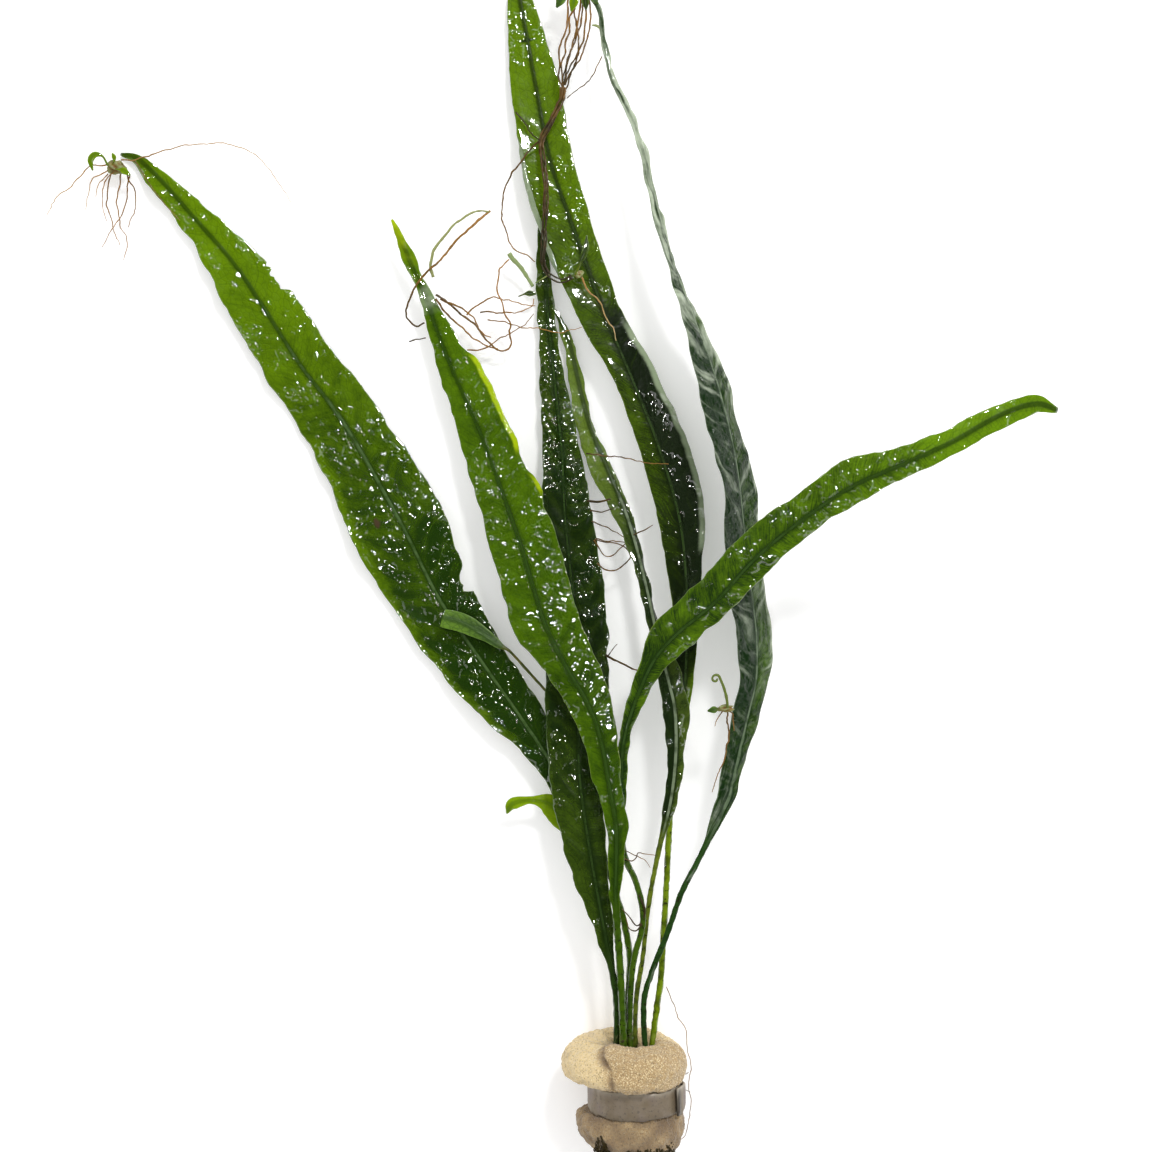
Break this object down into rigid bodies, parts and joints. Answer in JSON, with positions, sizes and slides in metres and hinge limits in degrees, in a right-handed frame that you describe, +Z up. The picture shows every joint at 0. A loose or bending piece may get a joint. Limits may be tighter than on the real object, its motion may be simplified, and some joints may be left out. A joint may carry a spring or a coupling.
{
  "type": "java fern bunch",
  "caption": "Bunch of java fern lying flat: long strap fronds with young plants sprouting on them, rooted in a rolled foam wrap that a soft metal weight strip holds.",
  "frame": {"origin": "on the surface that the plant lies on, under the middle of the foam's flattened underside", "axes": "+Y from the plug to the frond tips, +X to the right seen from above, +Z up"},
  "size_m": [0.2518, 0.3125, 0.0421],
  "materials": {
    "frond_bright": "wet glossy green leaf",
    "frond_dark": "wet glossy dark green leaf",
    "frond_blue_green": "wet glossy blue-green leaf",
    "young_leaf": "wet yellow-green leaf",
    "root": "fine brown root",
    "foam": "open-celled beige foam",
    "lead": "dull soft grey metal"
  },
  "bodies": {
    "root": {"frond_far_left": "frond_bright", "frond_left": "frond_bright", "frond_centre": "frond_dark", "frond_folded": "frond_bright", "frond_top": "frond_bright", "frond_right": "frond_blue_green", "frond_reaching": "frond_bright", "young_leaf_yellow": "young_leaf", "young_leaf_green": "frond_bright", "plantlet_far_left_tip": "young_leaf", "plantlet_left_neck": "root", "plantlet_top": "root", "plantlet_right_edge": "young_leaf", "root_centre_upper": "root", "root_centre_loop": "root", "root_centre_lower": "root", "root_beside_plug": "root", "stem_stub_green": "young_leaf", "foam_wrap": "foam", "weight_strip": "lead", "rhizome": "root", "root_tuft": "root"}
  },
  "joints": []
}
